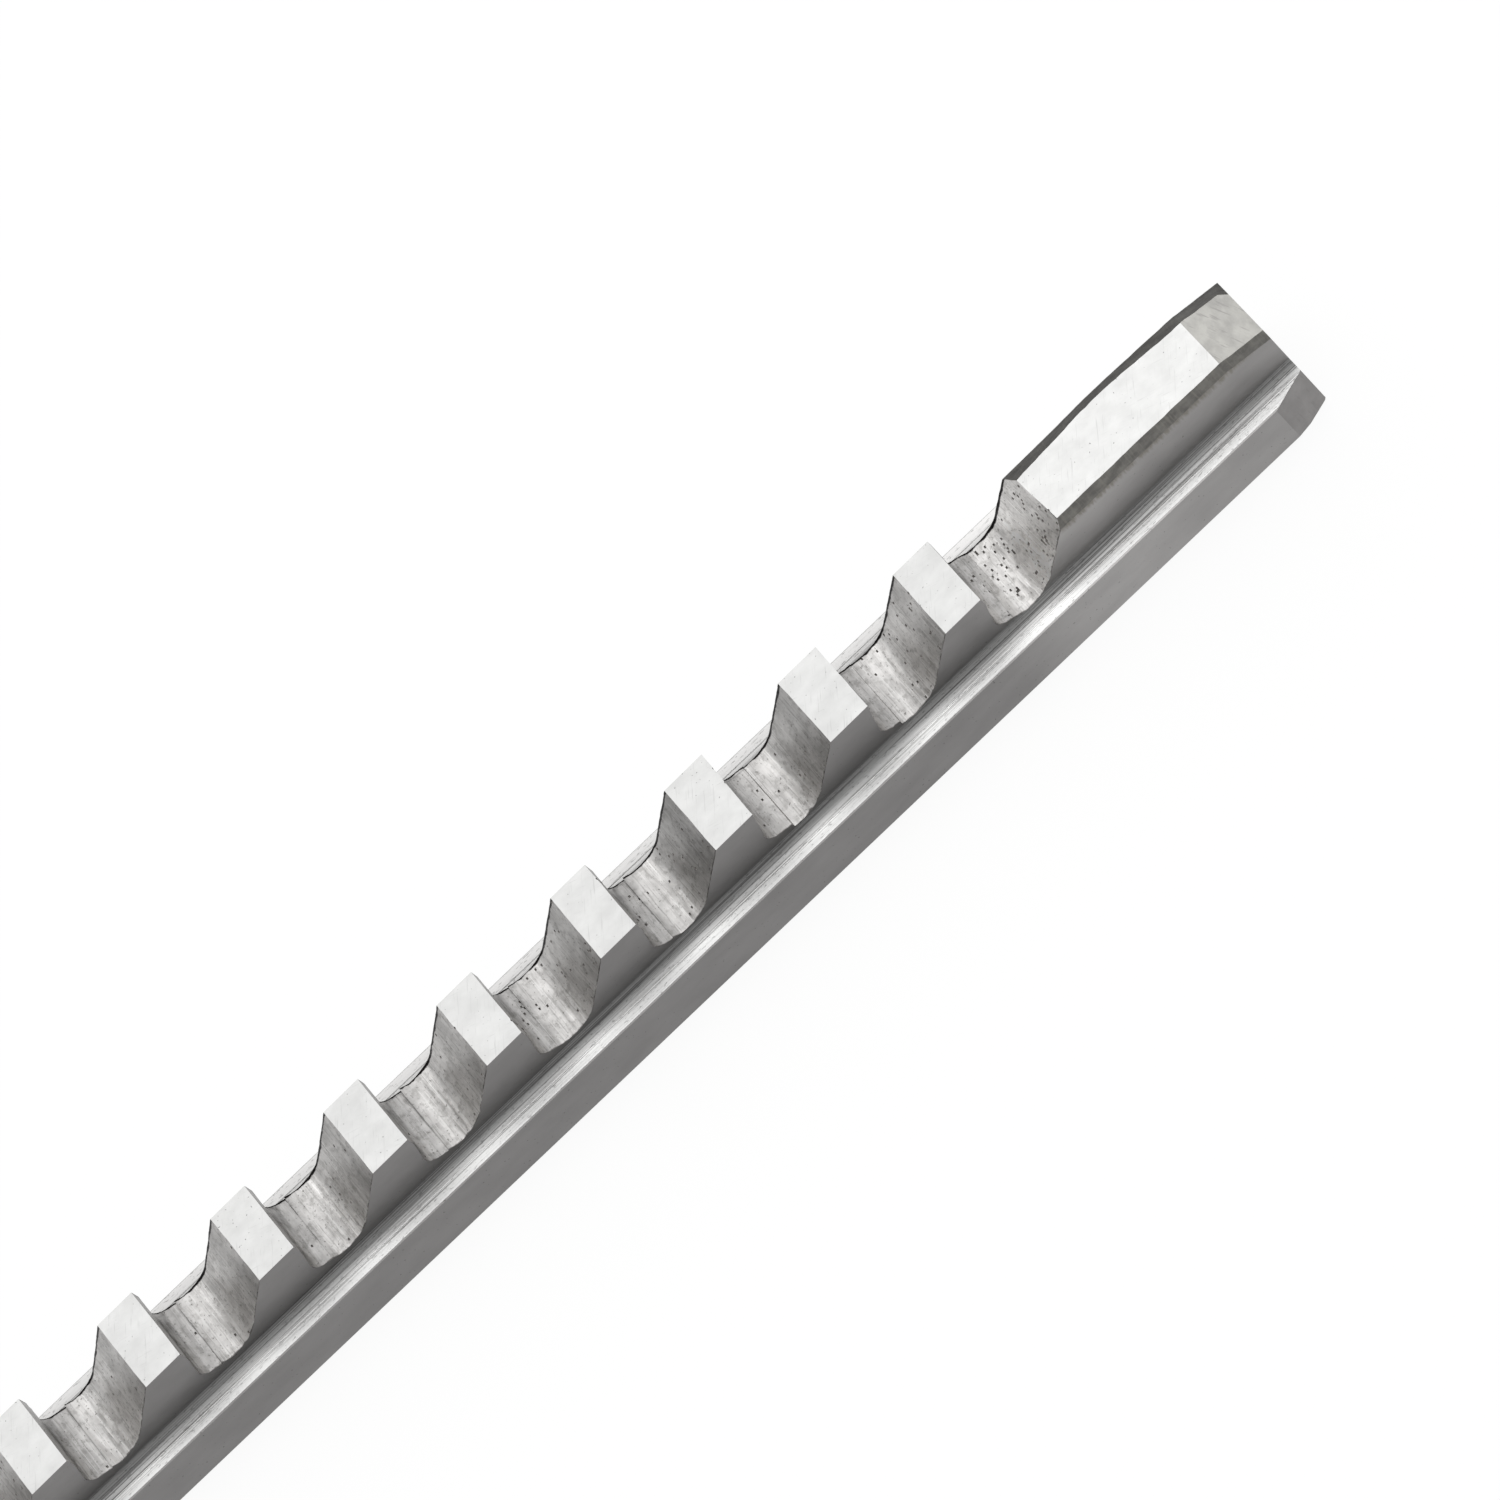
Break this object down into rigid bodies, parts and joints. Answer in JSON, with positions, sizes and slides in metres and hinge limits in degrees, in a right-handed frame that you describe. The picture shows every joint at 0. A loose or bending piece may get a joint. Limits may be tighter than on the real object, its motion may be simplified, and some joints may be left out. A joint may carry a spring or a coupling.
{
  "type": "keyway broach",
  "caption": "Push keyway broach: a toothed rib on a wider guiding body, each tooth a little higher than the one before, with a plain pilot in front and a plain shank behind.",
  "frame": {"origin": "middle of the flat back of the body, half way along the bar", "axes": "+X along the bar towards the pilot, the end that enters the work first; +Y across the bar; +Z out of the teeth"},
  "size_m": [0.2986, 0.0096, 0.013],
  "materials": {
    "ground_steel": "ground bright on the lands and ledges, satin on the sides, milled and pitted in the gullets"
  },
  "bodies": {
    "root": {"broach": "ground_steel"}
  },
  "joints": []
}
